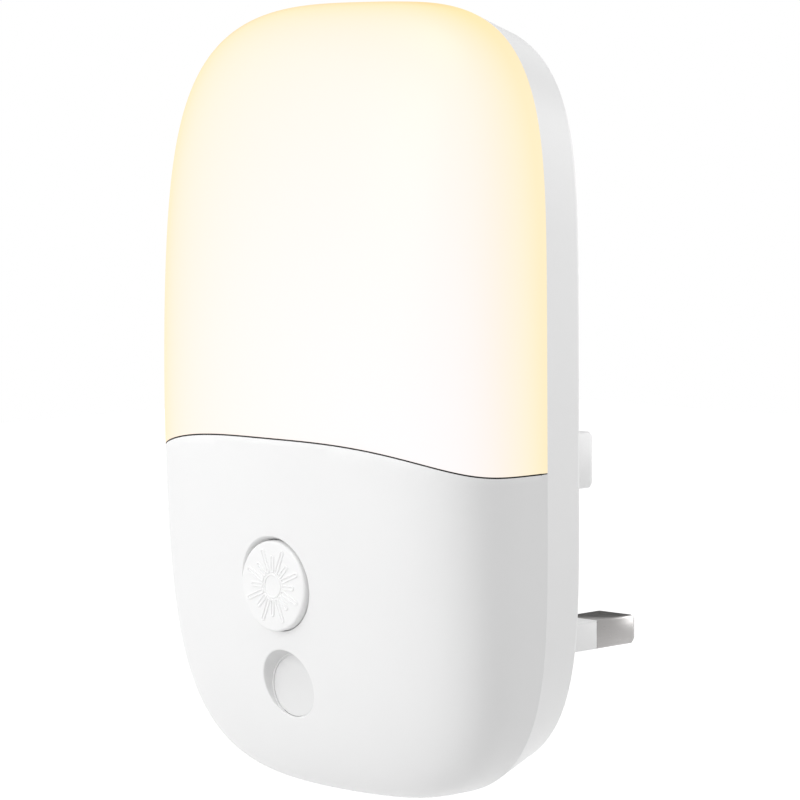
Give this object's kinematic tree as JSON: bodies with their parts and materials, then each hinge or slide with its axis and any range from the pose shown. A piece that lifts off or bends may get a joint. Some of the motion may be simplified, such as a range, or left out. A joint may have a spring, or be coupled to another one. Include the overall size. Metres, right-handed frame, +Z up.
{
  "type": "plug in night light",
  "caption": "Plug in night light: domed casing with a lit upper diffuser, a push button and a light sensor in the lower cover, and a three pin mains plug on the back.",
  "frame": {"origin": "on the plug's flat face, midway between the live and neutral pins", "axes": "+Y out of the plug face along the pins, +Z up along the casing's height, so the lit front faces -Y and the live pin is on +X"},
  "size_m": [0.06, 0.0614, 0.105],
  "materials": {
    "white_plastic": "satin white moulded plastic",
    "housing_plastic": "satin white moulded plastic",
    "milky_diffuser": "milky translucent plastic, lit warm from behind",
    "button_plastic": "satin white moulded plastic",
    "inner_white_plastic": "matt white moulded plastic",
    "window_plastic": "frosted translucent plastic",
    "earth_plastic": "smooth white plastic",
    "sleeve_plastic": "white insulating plastic",
    "plated_brass": "nickel plated brass, lightly rubbed",
    "terminal_brass": "bare brass",
    "retainer_plastic": "natural nylon",
    "zinc_screws": "zinc plated steel",
    "live_insulation": "brown wire insulation",
    "neutral_insulation": "blue wire insulation",
    "positive_insulation": "red wire insulation",
    "negative_insulation": "black wire insulation",
    "green_board": "green solder mask",
    "white_board": "white solder mask",
    "moulding_compound": "black moulding compound",
    "film_case": "yellow capacitor case",
    "can_sleeve": "dark shrink sleeve",
    "varistor_coat": "blue epoxy coat",
    "resistor_coat": "tan ceramic coat",
    "ceramic_chips": "dark ceramic chips",
    "sensor_lens": "clear epoxy",
    "switch_body": "black plastic",
    "switch_metal": "tinned steel",
    "switch_spring": "plated spring strip",
    "plunger_plastic": "brown plastic",
    "led_package": "white package with yellow phosphor",
    "label_film": "bare silver grey label"
  },
  "bodies": {
    "casing": {"rear_housing": "housing_plastic", "front_cover": "white_plastic", "diffuser": "milky_diffuser", "light_baffle": "inner_white_plastic", "reflector_tray": "inner_white_plastic", "rating_label": "label_film", "earth_pin": "earth_plastic", "live_pin": "plated_brass", "neutral_pin": "plated_brass", "live_pin_sleeve": "sleeve_plastic", "neutral_pin_sleeve": "sleeve_plastic", "pin_retainer": "retainer_plastic", "retainer_screws": "zinc_screws", "live_terminal": "terminal_brass", "neutral_terminal": "terminal_brass", "live_wire": "live_insulation", "neutral_wire": "neutral_insulation", "main_board": "green_board", "board_screws": "zinc_screws", "bridge_rectifier": "moulding_compound", "film_capacitor": "film_case", "electrolytic_capacitor": "can_sleeve", "fusible_resistor": "resistor_coat", "varistor": "varistor_coat", "controller_chip": "moulding_compound", "chip_resistors": "ceramic_chips", "light_sensor": "sensor_lens", "sensor_window": "window_plastic", "tact_switch_base": "switch_body", "tact_switch_frame": "switch_metal", "tact_switch_legs": "switch_metal", "tact_switch_dome": "switch_spring", "led_board": "white_board", "leds": "led_package", "led_board_screws": "zinc_screws", "led_wire_positive": "positive_insulation", "led_wire_negative": "negative_insulation", "case_screws": "zinc_screws"},
    "button": {"button_cap": "button_plastic"},
    "plunger": {"tact_switch_plunger": "plunger_plastic"}
  },
  "joints": [
    {"name": "button_press", "type": "slide", "parent": "casing", "child": "button", "axis": [0, 1, 0], "range_m": [0, 0.0004], "stiffness_N_per_m": 2500, "springref_m": -0.0001},
    {"name": "plunger_press", "type": "slide", "parent": "casing", "child": "plunger", "axis": [0, 1, 0], "range_m": [0, 0.0004]}
  ],
  "couplings": [
    {"joint": "plunger_press", "follows": "button_press", "ratio": 1}
  ]
}
